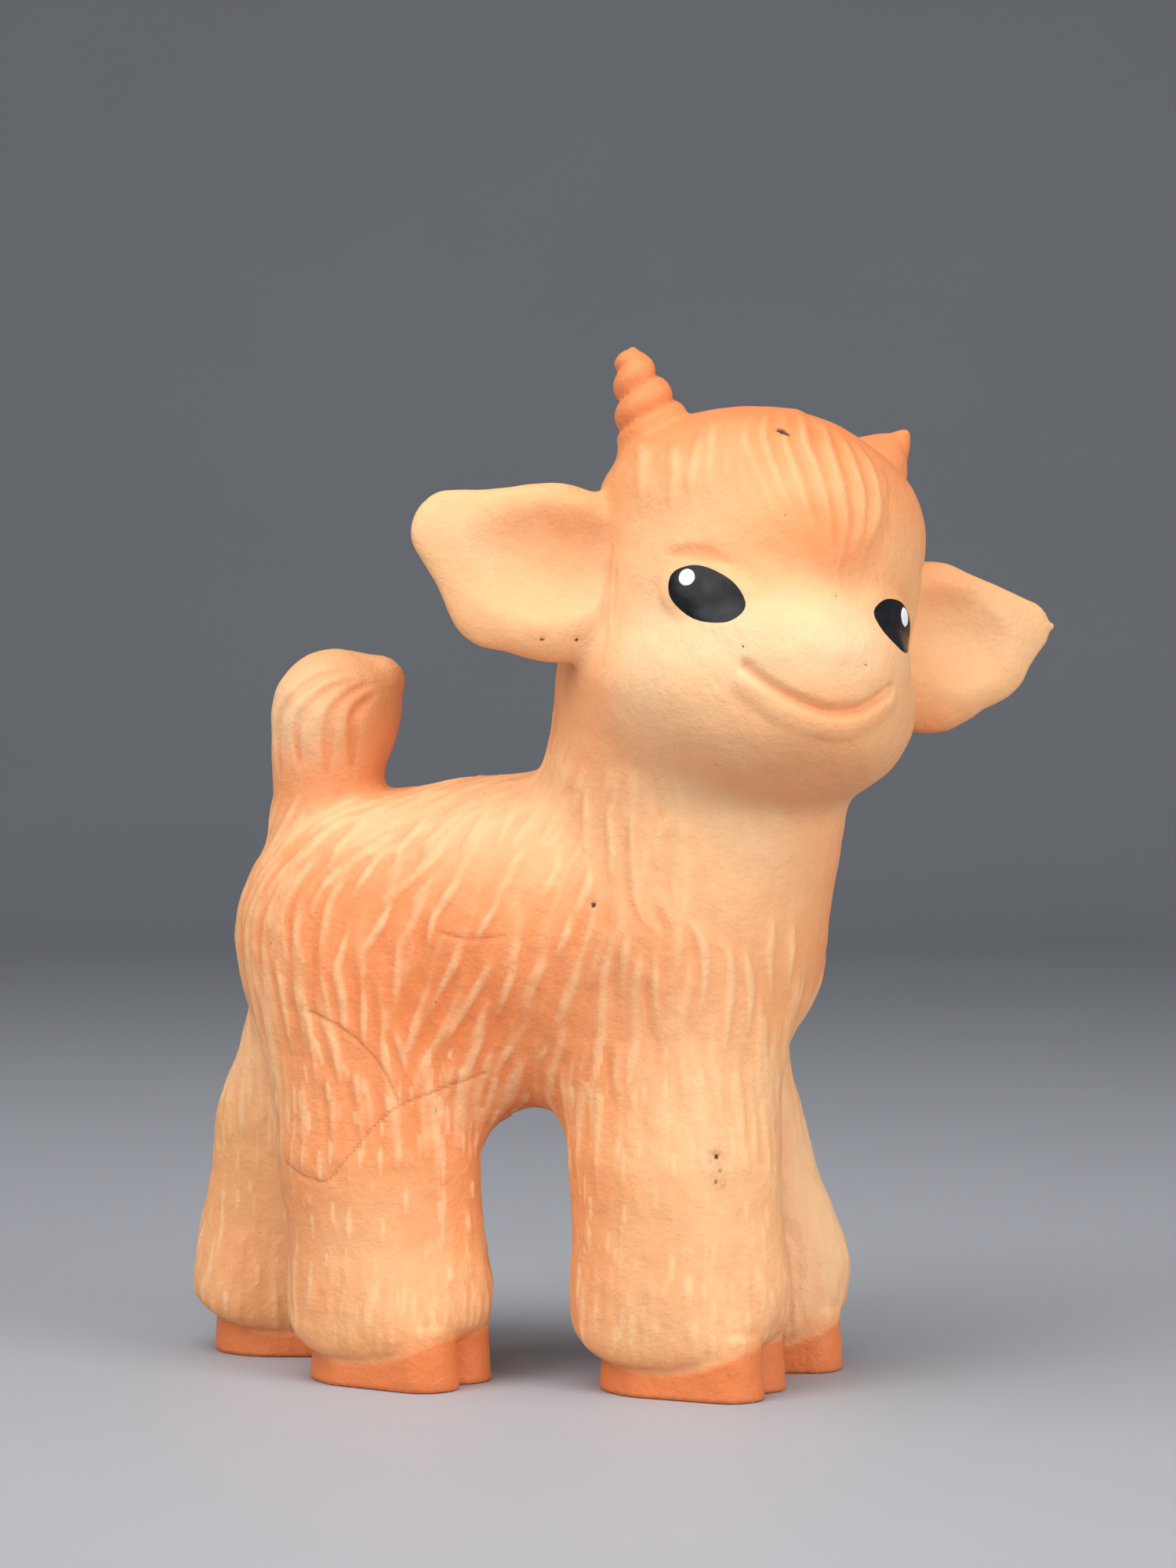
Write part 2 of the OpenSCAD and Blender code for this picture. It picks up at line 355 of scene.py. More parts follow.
# Nibs of rubber left by the mould's vents: on the right horn, the left ear and the tail, and behind a hoof
HEAD_NIBS = [((-4.3, -21.4, 34.6), (-4.3, -21.6, 35.8)), ((-4.1, 47.6, 6.2), (-4.2, 50.4, 6.7))]
BODY_NIBS = [((-45.0, 0.4, 100.0), (-45.9, 0.4, 101.3)), ((-58.4, 11.4, 1.2), (-60.2, 11, 1.0))]


def add_nibs(sculpt):
    for a, b in [[from_head(v) for v in nib] for nib in HEAD_NIBS] + BODY_NIBS:
        a, b = np.array(a, float), np.array(b, float)
        box = np.minimum(a, b) - 1, np.maximum(a, b) + 1
        sculpt.add(lambda p, a=a, b=b: round_cone(p, a, b, 0.7, 0.36), box, 1.0)


def outside():
    """The kid's outer surface, with the squeaker's seat cut into its belly."""
    s = Sculpt()
    s.add(lambda p: limb(p, TORSO, TORSO_FLAT), stations_box(TORSO), 0)
    s.add(lambda p: limb(p, NECK, NECK_FLAT), stations_box(NECK), 5)
    for stations, place in LEGS.values():
        s.add(lambda p, a=stations, b=place: leg(p, a, b), stations_box(stations), arch_blend)
    for stations, place in LEGS.values():
        low, high = (place[0] - 16, place[1] - 16, 0), (place[0] + 16, place[1] + 16, HOOF_TOP)
        s.add(lambda p, a=place: hoof(p, a), (low, high), 0.5)
    s.add(lambda p: limb(p, TAIL), stations_box(TAIL), 4)
    add_head(s)
    add_nibs(s)
    seat = (SQUEAK_X - SEAT_R, -SEAT_R, BELLY_Z - 4), (SQUEAK_X + SEAT_R, SEAT_R, BARREL_TOP)
    s.add(lambda p: pipe(p, SEAT_R, BELLY_Z), seat, 0.6, cut=True)
    s.add(lambda p: pipe(p, HOLE_R, BARREL_TOP), seat, 0.2, cut=True)
    return s


def pipe(p, r, top):
    """Upright cylinder on the squeaker's axis, from below the belly."""
    across = np.hypot(p[..., 0] - SQUEAK_X, p[..., 1]) - r
    return np.maximum(across, np.maximum(BELLY_Z - 4 - p[..., 2], p[..., 2] - top))


# ---- Surface of a solid, as quads ----
# The parts of a grid that hold each corner of its cells
CORNERS = list(itertools.product((slice(0, -1), slice(1, None)), repeat=3))


def fill_grid(solid, lo, hi, h):
    """Distances on a grid of pitch h, worked out only in the blocks that the surface may cross."""
    block = 4
    n = np.ceil((hi - lo) / (h * block)).astype(int)
    axes = [lo[i] + h * block * np.arange(n[i] + 1) for i in range(3)]
    rough = solid(np.stack(np.meshgrid(*axes, indexing="ij"), -1).reshape(-1, 3)).reshape(n + 1)
    live = np.min([np.abs(rough[part]) for part in CORNERS], axis=0) < h * block * 1.1
    cells = live.repeat(block, 0).repeat(block, 1).repeat(block, 2)
    nodes = np.zeros(np.array(cells.shape) + 1, bool)
    for part in CORNERS:
        nodes[part] |= cells
    sign = np.where(rough[:-1, :-1, :-1] < 0, -FAR, FAR).astype(np.float32)
    d = np.full(nodes.shape, FAR, np.float32)
    d[:-1, :-1, :-1] = sign.repeat(block, 0).repeat(block, 1).repeat(block, 2)
    d[nodes] = solid(lo + h * np.argwhere(nodes))
    return d


def surface_quads(d, lo, h):
    """Surface nets: one vertex in each cell that the surface crosses, one quad on each crossed edge."""
    inside = d < 0
    count = sum(inside[part].astype(np.int8) for part in CORNERS)
    crossed = (count > 0) & (count < 8)
    corners = list(itertools.product((0, 1), repeat=3))
    cell = np.argwhere(crossed)
    number = np.full(crossed.shape, -1, np.int64)
    number[crossed] = np.arange(len(cell))
    value = {c: d[tuple((cell + c).T)].astype(float) for c in corners}
    total, hits = np.zeros((len(cell), 3)), np.zeros(len(cell))
    for c in corners:
        for axis in range(3):
            if c[axis]:
                continue
            other = tuple(1 if i == axis else v for i, v in enumerate(c))
            a, b = value[c], value[other]
            cross = (a < 0) != (b < 0)
            point = np.tile(np.array(c, float), (len(cell), 1))
            point[:, axis] = np.where(cross, a / np.where(cross, a - b, 1), 0)
            total += point * cross[:, None]
            hits += cross
    verts = lo + h * (cell + total / hits[:, None])
    quads = []
    for axis in range(3):
        u, w = (axis + 1) % 3, (axis + 2) % 3
        first, second = [slice(1, -1)] * 3, [slice(1, -1)] * 3
        first[axis], second[axis] = slice(0, -1), slice(1, None)
        a, b = inside[tuple(first)], inside[tuple(second)]
        for flip in (False, True):
            edge = np.argwhere(~a & b if flip else a & ~b)
            ring = []
            for du, dw in ((0, 0), (1, 0), (1, 1), (0, 1)):
                at = edge.copy()
                at[:, u] += du
                at[:, w] += dw
                ring.append(number[tuple(at.T)])
            quads.append(np.stack(ring[::-1] if flip else ring, 1))
    return verts, np.concatenate(quads)


def show(name, data):
    """Puts a mesh, a light or a camera into the scene."""
    obj = bpy.data.objects.new(name, data)
    bpy.context.scene.collection.objects.link(obj)
    return obj


def mesh_object(name, verts, faces, material):
    """Smooth-shaded object from drawn millimetres."""
    mesh = bpy.data.meshes.new(name)
    mesh.from_pydata(to_row(verts).tolist(), [], faces)
    mesh.validate()
    mesh.polygons.foreach_set("use_smooth", np.full(len(mesh.polygons), True))
    mesh.materials.append(material)
    return show(name, mesh)


# ---- Materials ----
class Nodes:
    """Short way to build a material."""

    def __init__(self, name):
        self.material = bpy.data.materials.new(name)
        self.material.use_nodes = True
        self.tree = self.material.node_tree
        self.shader = self.tree.nodes["Principled BSDF"]

    def new(self, kind, **settings):
        node = self.tree.nodes.new("ShaderNode" + kind)
        for key, value in settings.items():
            setattr(node, key, value)
        return node

    def link(self, out, into):
        self.tree.links.new(out, into)

    def put(self, socket, value):
        """Feeds a socket with another node's output, a number or a colour."""
        if isinstance(value, bpy.types.NodeSocket):
            self.link(value, socket)
        else:
            socket.default_value = value if np.isscalar(value) else (*value, 1)

    def fill(self, node, values):
        for name, value in values.items():
            node.inputs[name].default_value = value

    def place(self):
        return self.new("TexCoord").outputs["Object"]

    def field(self, name):
        return self.new("Attribute", attribute_name=name).outputs["Fac"]

    def noise(self, scale, detail=3.0, rough=0.5, stretch=None):
        node = self.new("TexNoise")
        where = self.place()
        if stretch:
            grid = self.new("Mapping")
            self.link(where, grid.inputs["Vector"])
            grid.inputs["Scale"].default_value = stretch
            where = grid.outputs["Vector"]
        self.link(where, node.inputs["Vector"])
        self.fill(node, {"Scale": scale, "Detail": detail, "Roughness": rough})
        return node.outputs["Fac"]

    def math(self, operation, a, b, clamp=False):
        node = self.new("Math", operation=operation, use_clamp=clamp)
        for socket, value in zip(node.inputs, (a, b)):
            self.put(socket, value)
        return node.outputs[0]

    def times(self, a, b, clamp=False):
        return self.math("MULTIPLY", a, b, clamp)

    def stray(self, value, cloud, amount):
        """The value, shaken by a noise about its middle."""
        return self.math("ADD", value, self.times(self.math("SUBTRACT", cloud, 0.5), amount))

    def span(self, value, low, high, to_low=0.0, to_high=1.0):
        node = self.new("MapRange", interpolation_type="SMOOTHSTEP")
        self.put(node.inputs["Value"], value)
        self.fill(node, {"From Min": low, "From Max": high, "To Min": to_low, "To Max": to_high})
        return node.outputs["Result"]

    def mix(self, factor, a, b):
        node = self.new("Mix", data_type="RGBA")
        for socket, value in ((0, factor), (6, a), (7, b)):
            self.put(node.inputs[socket], value)
        return node.outputs[2]

    def bump(self, height, distance, under=None):
        node = self.new("Bump")
        self.link(height, node.inputs["Height"])
        self.fill(node, {"Distance": distance, "Strength": 1.0})
        if under is not None:
            self.link(under, node.inputs["Normal"])
        return node.outputs["Normal"]

    def finish(self, colour, roughness, normal):
        for name, out in (("Base Color", colour), ("Roughness", roughness), ("Normal", normal)):
            self.link(out, self.shader.inputs[name])
        return self.material


PEACH = (0.87, 0.405, 0.16)
PALE = (0.92, 0.60, 0.33)
RUBBED = (0.92, 0.55, 0.28)
SPRAY_AND_SHADE_ORANGE = (0.80, 0.205, 0.055)
DEEP = (0.62, 0.20, 0.07)
GRIME = (0.42, 0.24, 0.10)
DUST = (0.30, 0.13, 0.06)
SMUDGE = (0.24, 0.13, 0.05)
DIRT_AND_HOLE_SHADE = (0.05, 0.028, 0.02)


def rubber_material():
    """Peach rubber under coats of colour, each with the share of the surface that it covers."""
    n = Nodes("moulded_rubber")
    names = ("spray_and_shade", "pale_and_lit", "ridge", "streak", "crack", "speck", "stain")
    spray_and_shade, pale_and_lit, ridge, streak, crack, speck, stain = (n.field(f) for f in names)
    # peach towards pale rubber; the pale spots also hold painted light on the left front leg and the right
    # cheek
    base = n.mix(n.math("ADD", n.span(n.noise(60, 4), 0.3, 0.7, 0.0, 0.25), pale_and_lit, clamp=True), PEACH, PALE)
    # the spray amount also holds painted shade under the chin and ears, in the ear hollows, the brow creases,
    # along the mouth and under the forelock's tip
    ragged = n.stray(n.stray(spray_and_shade, n.noise(140, 5, 0.6), 0.30), n.noise(1500, 2, 0.7), 0.10)
    ragged = n.math("SUBTRACT", ragged, n.times(streak, 0.14))
    # grooves keep more orange: paint left in the sunk lines, and painted shade in the creases
    groove_paint_and_shade = n.span(ridge, -0.30, 0.0, 0.55, 0.0)
    worn = n.span(ridge, 0.08, 0.40, 0.0, 0.9)
    dots = n.new("TexVoronoi", feature="F1")
    n.link(n.place(), dots.inputs["Vector"])
    n.fill(dots, {"Scale": 170})
    near_dot = n.span(dots.outputs["Distance"], 0.02, 0.045, 1.0, 0.0)
    dusty = n.times(near_dot, n.span(n.noise(70, 2), 0.5, 0.6))
    layers = [
        (n.times(ragged, 1.0, clamp=True), SPRAY_AND_SHADE_ORANGE),
        (n.span(ragged, 0.78, 1.08, 0.0, 0.30), DEEP),
        (n.times(groove_paint_and_shade, n.span(ragged, 0.0, 0.5, 0.35, 1.0)), SPRAY_AND_SHADE_ORANGE),
        (n.times(worn, n.span(n.noise(400, 3), 0.25, 0.6, 0.40, 0.75)), RUBBED),
        (n.span(n.noise(90, 6, 0.65), 0.56, 0.78, 0.0, 0.16), GRIME),
        (n.span(crack, 0.0, 0.5, 0.62, 0.0), DEEP),
        (n.times(dusty, 0.6), DUST),
        (n.times(stain, n.span(n.noise(900, 4, 0.7), 0.42, 0.62, 0.2, 1.0)), SMUDGE),
        # dark specks: dirt, and painted shade inside the pinholes and the vent slit
        (n.span(speck, 0.6, 1.15, 1.0, 0.0), DIRT_AND_HOLE_SHADE),
    ]
    for cover, colour in layers:
        base = n.mix(cover, base, colour)
    n.fill(n.shader, {"Specular IOR Level": 0.38})
    roughness = n.span(n.noise(220, 4), 0.3, 0.7, 0.46, 0.60)
    grain = n.bump(n.noise(1300, 3, 0.6), 0.00012)
    skin = n.bump(n.noise(420, 4, 0.6), 0.00028, under=grain)
    return n.finish(base, roughness, n.bump(n.span(crack, 0.0, 0.4), 0.00008, under=skin))


def paint_material(name, colour, lift, shine=0.5):
    """Brushed enamel."""
    n = Nodes(name)
    n.fill(n.shader, {"Specular IOR Level": shine})
    streak = n.noise(500, 3, 0.6, stretch=(1, 0.35, 1))
    coat = n.mix(n.span(streak, 0.3, 0.75), colour, lift)
    return n.finish(coat, n.span(n.noise(300, 3), 0.3, 0.7, 0.26, 0.42), n.bump(streak, 0.00003))


def plastic_material():
    n = Nodes("squeaker_plastic")
    ivory = n.mix(n.span(n.noise(90, 4), 0.35, 0.7), (0.74, 0.70, 0.58), (0.62, 0.55, 0.40))
    return n.finish(ivory, n.span(n.noise(300, 3), 0.3, 0.7, 0.42, 0.58), n.bump(n.noise(800, 3), 0.00004))


def brass_material():
    n = Nodes("reed_brass")
    n.fill(n.shader, {"Metallic": 1.0})
    rolled = n.noise(900, 2, stretch=(0.05, 1, 1))
    sheet = n.mix(n.span(rolled, 0.3, 0.7), (0.70, 0.50, 0.18), (0.80, 0.62, 0.28))
    return n.finish(sheet, n.span(n.noise(400, 3), 0.3, 0.7, 0.24, 0.4), n.bump(rolled, 0.00001))


def floor_material():
    n = Nodes("floor")
    n.link(n.mix(n.noise(6, 2), (0.38, 0.39, 0.42), (0.41, 0.42, 0.45)), n.shader.inputs["Base Color"])
    n.fill(n.shader, {"Roughness": 0.6})
    return n.material


# ---- Relief: raised hairs and sunk lines over the skin ----
def curve(points, step=0.5):
    """Smooth line through the points."""
    p = np.asarray(points, float)
    if len(p) > 2:
        ends = np.concatenate([[2 * p[0] - p[1]], p, [2 * p[-1] - p[-2]]])
        t = np.linspace(0, 1, 8, endpoint=False)[:, None]
        parts = []
        for a, b, c, d in zip(ends[:-3], ends[1:-2], ends[2:-1], ends[3:]):
            parts.append(0.5 * (2 * b + (c - a) * t + (2 * a - 5 * b + 4 * c - d) * t ** 2
                                + (3 * b - a - 3 * c + d) * t ** 3))
        p = np.concatenate(parts + [p[-1:]])
    run = np.concatenate([[0], np.cumsum(np.linalg.norm(np.diff(p, axis=0), axis=1))])
    at = np.linspace(0, run[-1], max(int(run[-1] / step), 2) + 1)
    return np.stack([np.interp(at, run, p[:, i]) for i in range(p.shape[1])], 1)


FROM_SIDE, FROM_FRONT, FROM_EYE = 48.0, 46.0, 16.0  # where points seen from outside start
CAST_STEPS, CAST_STRIDE = 50, 0.85


def cast(solid, start, way):
    """Slides points along a direction until they meet the solid."""
    p = np.array(start, float)
    way = np.broadcast_to(np.asarray(way, float), p.shape)
    for _ in range(CAST_STEPS):
        p = p + way * np.clip(solid(p), -1, FAR)[:, None] * CAST_STRIDE
    return p


class Relief:
    """Heights over the skin's points, built up from strokes."""

    NAMES = ("up", "down", "swell", "tint", "dash")

    def __init__(self, points, cell=2.0):
        self.points, self.cell = points, cell
        keys = np.floor(points / cell).astype(np.int64)
        self.low, self.size = keys.min(0) - 3, np.ptp(keys, axis=0) + 7
        codes = self.code(keys)
        self.order = np.argsort(codes, kind="stable")
        self.codes = codes[self.order]
        self.layers = {name: np.zeros(len(points)) for name in self.NAMES}

    def code(self, keys):
        k = np.clip(keys - self.low, 0, self.size - 1)
        return (k[..., 0] * self.size[1] + k[..., 1]) * self.size[2] + k[..., 2]

    def near(self, line, reach):
        """Indices of the points that may lie within reach of the line."""
        n = int(math.ceil(reach / self.cell))
        shift = np.stack(np.meshgrid(*[np.arange(-n, n + 1)] * 3, indexing="ij"), -1).reshape(-1, 3)
        keys = np.unique(np.floor(line / self.cell).astype(np.int64), axis=0)
        codes = np.unique(self.code((keys[:, None] + shift).reshape(-1, 3)))
        first = np.searchsorted(self.codes, codes)
        last = np.searchsorted(self.codes, codes, side="right")
        return np.concatenate([self.order[a:b] for a, b in zip(first, last)])

    def measure(self, line, index):
        """Gap from each point to the line, and how far along the line it is, 0 to 1."""
        p = self.points[index]
        a, ab = line[:-1], np.diff(line, axis=0)
        length = np.linalg.norm(ab, axis=1) + 1e-9
        start = np.concatenate([[0], np.cumsum(length)[:-1]])
        t = np.clip(((p[:, None] - a) * ab).sum(-1) / length ** 2, 0, 1)
        gap = np.linalg.norm(p[:, None] - a - t[..., None] * ab, axis=-1)
        best = gap.argmin(1)
        row = np.arange(len(p))
        return gap[row, best], (start[best] + t[row, best] * length[best]) / length.sum()

    def lay(self, layer, index, heights):
        values = self.layers[layer]
        values[index] = np.maximum(values[index], heights)

    def stroke(self, line, width, height, layer, taper=0.2, tail=0.6):
        """Rounded ridge, or groove in the layer "down", that narrows towards its ends."""
        index = self.near(line, width)
        gap, along = self.measure(line, index)
        slim = np.clip(along / taper, 0, 1) ** 0.5 * np.clip((1 - along) / tail, 0, 1) ** 0.7
        bump = np.clip(1 - (gap / (width * np.maximum(slim, 0.05))) ** 2, 0, 1) ** 1.5
        self.lay(layer, index, height * bump * slim ** 0.5)

    def even(self, line, width, height, layer="down"):
        """Groove or ridge of one width."""
        index = self.near(line, width)
        gap, _ = self.measure(line, index)
        self.lay(layer, index, height * np.clip(1 - (gap / width) ** 2, 0, 1) ** 1.5)

    def gap_to(self, line, reach):
        """Distance of every point from a line, up to reach."""
        index = self.near(line, reach)
        out = np.full(len(self.points), float(reach))
        out[index] = np.minimum(self.measure(line, index)[0], reach)
        return out


def soften(values, faces, rounds):
    """Averages a number per vertex with its neighbours along the quads' edges."""
    a = faces.ravel()
    b = np.roll(faces, -1, axis=1).ravel()
    share = np.bincount(a, minlength=len(values)) + np.bincount(b, minlength=len(values))
    for _ in range(rounds):
        around = np.bincount(a, values[b], len(values)) + np.bincount(b, values[a], len(values))
        values = 0.5 * values + 0.5 * around / np.maximum(share, 1)
    return values


def scatter(points, spacing):
    """Indices of points about spacing apart."""
    order = RNG.permutation(len(points))
    keys = np.floor(points[order] / spacing).astype(np.int64)
    _, first = np.unique(keys, axis=0, return_index=True)
    return order[first]


def wander(points, size, seed):
    """Smooth random field from -1 to 1 with lumps of about the given size."""
    rng = np.random.default_rng(seed)
    total = np.zeros(len(points))
    for _ in range(6):
        way = unit(rng.normal(size=3))
        total += np.sin(points @ way * (2 * math.pi / size) * rng.uniform(0.7, 1.4) + rng.uniform(0, 6.28))
    return total / 3.2


# ---- Lie of the fur ----
# Lean of the hair back from straight down on the sides, in degrees, against x, low and high on the body
LEAN_X = [-40, -30, -25, -18, 0, 8, 16, 26]
LEAN_LOW = [-14, -12, 0, 28, 26, 16, 4, 0]
LEAN_HIGH = [34, 46, 40, 34, 26, 10, 3, 0]
DASH_SPACING, STREAK_SPACING = 4.4, 2.6


def lie(p, n):
    """Direction in which the hair grows at p: down the legs and sides, rearwards over the back."""
    x, z = p[:, 0], p[:, 2]
    low, high = np.interp(x, LEAN_X, LEAN_LOW), np.interp(x, LEAN_X, LEAN_HIGH)
    lean = np.radians(low + (high - low) * ramp(z, 60, 74)) * ramp(z, 38, 50)
    lean += 0.10 * wander(p, 26, 3)
    way = np.stack([-np.sin(lean), np.zeros(len(p)), -np.cos(lean)], 1)
    top = ramp(n[:, 2], 0.5, 0.95) * ramp(z, 60, 70)
    way[:, 0] -= 1.2 * top
    way[:, 1] += 0.9 * top * np.sign(p[:, 1])
    return way


def trace(solid, start, lengths, steps=12):
    """Hairs that follow the lie of the fur over the skin."""
    p, n = solid.settle(start, 1)
    track = [p]
    for _ in range(steps):
        way = lie(p, n)
        way = unit(way - (way * n).sum(1, keepdims=True) * n)
        p, n = solid.settle(p + way * (lengths / steps)[:, None], 1)
        track.append(p)
    return np.stack(track, 1)


# Locks on the right flank, shoulder and chest, as (x, z) seen from the side
LOCKS = [
    [(0, 84), (-2, 80.5), (-4, 74.5)], [(-3.5, 83.5), (-7, 78), (-8.5, 74)],
    [(-7.5, 83), (-9, 79), (-10, 75)], [(-11, 83), (-14, 78), (-15.5, 74)],
    [(-16.5, 81.5), (-20, 77.5), (-20.5, 73.5)], [(-20.5, 82), (-24, 77), (-25.5, 72)],
    [(-30, 81.5), (-34, 76), (-36, 71)], [(-33, 82.5), (-37.5, 80), (-41, 77)],
    [(-32.5, 74.5), (-35.5, 70.5), (-37, 66)], [(-30.5, 67), (-32.5, 59), (-33, 54)],
    [(-24.5, 69), (-27, 64.5), (-29.5, 60)], [(-18, 68.5), (-19, 63), (-21, 59)],
    [(-13.5, 64), (-17, 57), (-20, 51)], [(-8.5, 62.5), (-13, 55.5), (-17.5, 48)],
    [(-5.5, 60.5), (-7.5, 57), (-9, 52.5)], [(-23, 64), (-23.5, 58), (-23.5, 54)],
    [(-28.5, 57), (-28.5, 50.5), (-28, 47)], [(-32, 59), (-31.5, 52), (-31, 48)],
    [(-42.5, 61.5), (-41, 54), (-39.5, 46.5)], [(-39.5, 59), (-38, 52.5), (-37, 45.5)],
    [(-38, 57), (-36.5, 50.5), (-35.5, 42.5)], [(-34.5, 53), (-32.5, 47.5), (-31, 41)],
    [(-24, 51.5), (-22.5, 45.5), (-22, 43)], [(2, 67.5), (1, 64.5), (-1, 60)],
    [(7, 65.5), (5, 60), (3.5, 56)], [(10.5, 65.5), (9, 56), (8.5, 52)], [(0, 76.5), (-1, 73), (-3, 68)],
    [(-27, 76), (-30, 71), (-32, 67)], [(-14, 73), (-17, 69), (-18.5, 65)],
    [(-8, 70), (-11, 65.5), (-12.5, 62)], [(5, 74), (3.5, 70), (2.5, 66)],
    [(16.5, 81.5), (14.5, 79), (14, 73.5)], [(14.5, 71), (16.5, 66), (17.5, 63)],
    [(18.5, 67.5), (20.5, 63), (20.5, 57.5), (19.5, 52.5)],
    [(22.5, 64), (24, 61.5), (23.5, 52.5), (22.5, 44.5)], [(26, 63), (26.5, 56), (26, 49.5)],
    [(29.5, 67), (29, 60.5), (29.5, 55)], [(32, 66), (31.5, 61), (31, 56)],
    [(10.5, 65.5), (9.5, 61.5), (9.5, 54)], [(14, 62.5), (14, 56), (14.5, 50), (16, 46)],
    [(8.5, 49), (8, 44.5), (8, 41)], [(10.5, 83.5), (11, 72), (12.5, 67), (16, 64)],
    [(7, 83.5), (7.5, 77), (7.5, 71)], [(3.5, 85.5), (3.5, 79), (4, 73)],
    [(21.5, 47.5), (22.5, 43), (23, 39)], [(17, 50), (18, 44), (18.5, 38)],
]

# Grooves that curve up the tail to its tip, the same on both sides
TAIL_GROOVES = [
    [(-45, 87), (-45.5, 94.5), (-43, 98.5), (-39, 101.5), (-34.5, 103)],
    [(-41.5, 88), (-42, 93.5), (-40.5, 96.5), (-37, 99.5), (-33, 101.5)],
    [(-37.5, 87), (-37, 92.5), (-36, 96.5), (-33.5, 99.5), (-31, 101)],
    [(-34, 88), (-33.5, 93), (-33, 96.5), (-30.5, 99.5)],
]

# Cracks in the rubber, as (x, z) on the right side
CRACKS = [
    [(-41, 31.5), (-38, 30), (-36, 29.5), (-33.5, 29.5), (-30, 33.5), (-26, 38), (-22.5, 40.5), (-11.5, 45)],
    [(-37, 53.5), (-32.5, 51.5), (-29, 49), (-25.5, 45), (-23.5, 41)],
    [(-17.5, 65), (-13, 64), (-8, 64.5)],
]


def cast_flank(solid, x, z, side=-1):
    return cast(solid, np.stack([x, np.full(len(x), side * FROM_SIDE), z], 1), (0, -side, 0))


def cast_face(solid, y, z):
    start = np.stack([np.full(len(y), FROM_FRONT), y, z], 1)
    return cast(solid, from_head(start), head_way((-1, 0, 0)))


def cast_eye(solid, side, out, up):
    at, axes = eye_frame(side)
    start = np.stack([np.full(len(out), FROM_EYE), side * out, up], 1)
    return cast(solid, from_head(at + start @ axes.T), HEAD_AXES @ axes @ np.array([-1, 0, 0]))


def on_flank(solid, xz, side=-1):
    """Line on the flank through these (x, z) seen from the side."""
    return cast_flank(solid, *curve(xz).T, side)


def on_face(solid, yz):
    """Line on the head through these (y, z) seen from in front."""
    return solid.settle(cast_face(solid, *curve(yz).T))[0]


def by_eye(solid, side, points):
    """Line round an eye through these points, outwards and upwards from its centre."""
    return cast_eye(solid, side, *curve(points).T)


# Face, in the head's own frame as (y, z) seen from the front
MOUTH = [(-10.5, -9.5), (-8.5, -11), (-4, -13), (1, -14), (6, -13), (8.5, -11.5), (11, -9.5)]
LOWER_LIP = [(-10, -12), (-6, -14.5), (-1, -16), (4, -16), (8, -14), (11.5, -11)]
UPPER_LIP = [(-7, -9), (-3.5, -11), (1, -11.5), (5, -10.5), (8.5, -9)]
NOSE = [[(-4.5, -3), (-2, -4), (0, -4.5)], [(5, -3), (2.5, -3.5), (0, -4.5)]]
# Brow above an eye and the lid's line at its inner corner, outwards and upwards from the eye's centre
BROW = [(9, 2.5), (5.5, 4.5), (0, 5.5), (-2, 5)]
LID = [(-6.5, -2.5), (-7.5, -4), (-8, -5)]
CHEEK = [
    [(2.5, -23, 7), (2, -23, 0), (3, -23, -5.5), (5.5, -23, -12)],
    [(4, -22.5, 4), (4, -22.5, -1.5), (4, -22.5, -5)],
]

# Lower edge of the hair on the forehead, and the strands that run down to it from the crown
FRINGE = [
    (-24, 12), (-17, 11.5), (-11.5, 10.5), (-9, 9), (-5.5, 6.5), (-2, 5), (1.5, 4.5), (5.5, 6),
    (8.5, 10), (10.5, 14.5), (11.5, 20),
]
STRANDS = [
    [(-21, 21.5), (-22, 16), (-22, 10.5)], [(-18.5, 21.5), (-19, 15.5), (-19.5, 10.5)],
    [(-14.5, 24.5), (-17, 17.5), (-17, 10.5)], [(-13, 25.5), (-15, 19), (-15, 13)],
    [(-11, 26), (-12.5, 20.5), (-13.5, 14.5)], [(-9, 27), (-11, 21.5), (-11, 16), (-10.5, 12)],
    [(-7, 27.5), (-10, 22.5), (-9, 17.5), (-7.5, 12.5), (-5.5, 9)],
    [(-5, 28), (-8, 23), (-7, 17.5), (-5, 12), (-2.5, 7.5)],
    [(-2, 29), (-5, 23.5), (-4.5, 17.5), (-3, 11.5), (-1, 6)],
    [(0, 29), (-2.5, 23.5), (-1.5, 18.5), (-0.5, 12.5), (0.5, 6)],
    [(2.5, 28), (1, 22.5), (1.5, 17.5), (2, 12), (1.5, 6.5)],
    [(4.5, 26.5), (4.5, 22), (5, 17), (4.5, 11), (3, 7.5)],
    [(7, 25.5), (8, 21), (8, 16), (6.5, 11), (4.5, 8.5)],
]


def smooth_parts(p, n, q):
    """1 on the face, ears, tail and underside, where no hair is moulded, and 0 elsewhere."""
    face = ramp(q[:, 0], -6, 2) * ramp(p[:, 2], 84, 90) * ramp(q[:, 2], -26, -22)
    ears = ramp(np.abs(q[:, 1]), 22, 25) * ramp(p[:, 2], 90, 95)
    tail = ramp(-p[:, 0], 24, 27) * ramp(p[:, 2], 83, 87)
    belly = ramp(-n[:, 2], 0.8, 0.97)
    crown = ramp(q[:, 2], 16, 20) * ramp(p[:, 2], 92, 98)
    return 1 - (1 - face) * (1 - ears) * (1 - tail) * (1 - belly) * (1 - crown)


def bib(p):
    """Smooth front of the neck and chest."""
    edge = 2.5 * wander(p, 11, 5)
    low = 66 - 0.35 * (p[:, 0] - 17)
    return ramp(p[:, 0] + edge, 15, 19) * ramp(p[:, 2] + edge, low - 2, low + 2)


